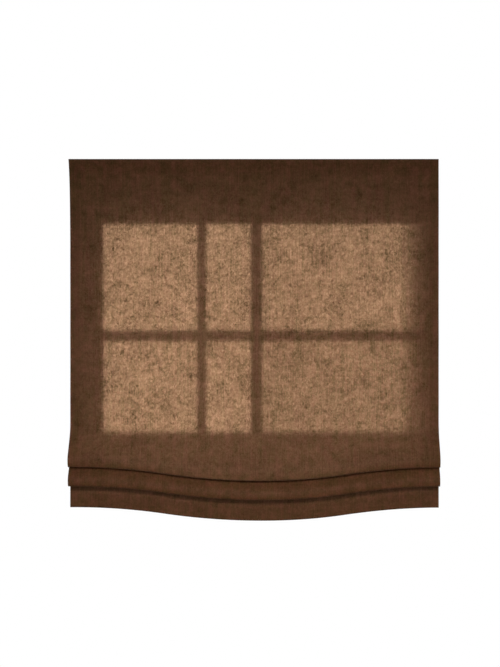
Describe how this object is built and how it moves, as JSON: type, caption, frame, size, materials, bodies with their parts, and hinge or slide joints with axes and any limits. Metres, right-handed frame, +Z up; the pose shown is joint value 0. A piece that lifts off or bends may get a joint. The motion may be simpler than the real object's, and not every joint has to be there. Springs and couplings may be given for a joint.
{
  "type": "roman blind",
  "caption": "Relaxed roman blind in brown slubby linen with two soft folds and a swagged hem, hung from a headrail with a cordless spring lift.",
  "frame": {"origin": "on the wall plane, in the middle of the four wall fixing holes of the two brackets", "axes": "+X along the blind to the right as seen from the room, +Y into the wall, +Z up"},
  "size_m": [1, 0.0846, 0.9813],
  "materials": {
    "linen": "matte",
    "bracket_steel": "satin",
    "bright_steel": "satin",
    "shaft_steel": "satin",
    "spring_steel": "satin",
    "catch_plastic": "satin",
    "rail_white": "satin",
    "cap_plastic": "satin",
    "hook_tape": "matte",
    "loop_tape": "matte",
    "cradle_plastic": "satin",
    "motor_plastic": "satin",
    "drum_plastic": "satin",
    "cord": "matte",
    "ring_plastic": "gloss",
    "orb_plastic": "gloss",
    "weight_metal": "matte"
  },
  "bodies": {
    "root": {"bracket_left": "bracket_steel", "bracket_right": "bracket_steel", "catch_rivets": "bright_steel", "headrail": "rail_white", "end_cap_left": "cap_plastic", "end_cap_right": "cap_plastic", "hook_tape": "hook_tape", "loop_tape": "loop_tape", "spool_cradle_left": "cradle_plastic", "spool_cradle_right": "cradle_plastic", "cradle_lid_left": "cradle_plastic", "cradle_lid_right": "cradle_plastic", "motor_case_left": "motor_plastic", "motor_case_right": "motor_plastic", "motor_screws": "bright_steel", "spring_strip": "spring_steel", "cloth": "linen", "lift_cord_left": "cord", "lift_cord_right": "cord"},
    "catch_left": {"catch_left": "catch_plastic"},
    "catch_right": {"catch_right": "catch_plastic"},
    "shaft": {"lift_shaft": "shaft_steel", "cord_spool_left": "drum_plastic", "cord_spool_right": "drum_plastic", "output_drum": "drum_plastic", "shaft_collars": "shaft_steel"},
    "storage_drum": {"storage_drum": "drum_plastic"},
    "foot": {"hem_weight": "weight_metal", "fold_rings": "ring_plastic", "fold_tie_left": "cord", "fold_tie_right": "cord", "cord_orb_left": "orb_plastic", "cord_orb_right": "orb_plastic"},
    "row_top": {"ring_row_top": "ring_plastic"},
    "row_upper": {"ring_row_upper": "ring_plastic"},
    "row_middle": {"ring_row_middle": "ring_plastic"}
  },
  "joints": [
    {"name": "catch_left_turn", "type": "hinge", "parent": "root", "child": "catch_left", "pos_m": [-0.34, -0.0185, 0.01], "axis": [0, 0, -1], "range_deg": [0, 90]},
    {"name": "catch_right_turn", "type": "hinge", "parent": "root", "child": "catch_right", "pos_m": [0.34, -0.0185, 0.01], "axis": [0, 0, -1], "range_deg": [0, 90]},
    {"name": "lift", "type": "slide", "parent": "root", "child": "foot", "axis": [0, 0, 1], "range_m": [0, 0.58], "deforming": ["cloth", "lift_cord_left", "lift_cord_right"]},
    {"name": "row_middle_lift", "type": "slide", "parent": "root", "child": "row_middle", "axis": [0, 0, 1], "range_m": [0, 0.437]},
    {"name": "row_upper_lift", "type": "slide", "parent": "root", "child": "row_upper", "axis": [0, 0, 1], "range_m": [0, 0.293]},
    {"name": "row_top_lift", "type": "slide", "parent": "root", "child": "row_top", "axis": [0, 0, 1], "range_m": [0, 0.15]},
    {"name": "shaft_turn", "type": "hinge", "parent": "root", "child": "shaft", "pos_m": [0, -0.0185, -0.013], "axis": [-1, 0, 0], "range_deg": [0, 3870]},
    {"name": "storage_drum_turn", "type": "hinge", "parent": "root", "child": "storage_drum", "pos_m": [0, -0.0185, 0.0008], "axis": [-1, 0, 0], "range_deg": [-4990, 0]}
  ],
  "couplings": [
    {"joint": "row_middle_lift", "follows": "lift", "ratio": 0.75255},
    {"joint": "row_upper_lift", "follows": "lift", "ratio": 0.50509},
    {"joint": "row_top_lift", "follows": "lift", "ratio": 0.25764},
    {"joint": "shaft_turn", "follows": "lift", "rad_per_m": 116.28},
    {"joint": "storage_drum_turn", "follows": "lift", "rad_per_m": -149.97}
  ]
}
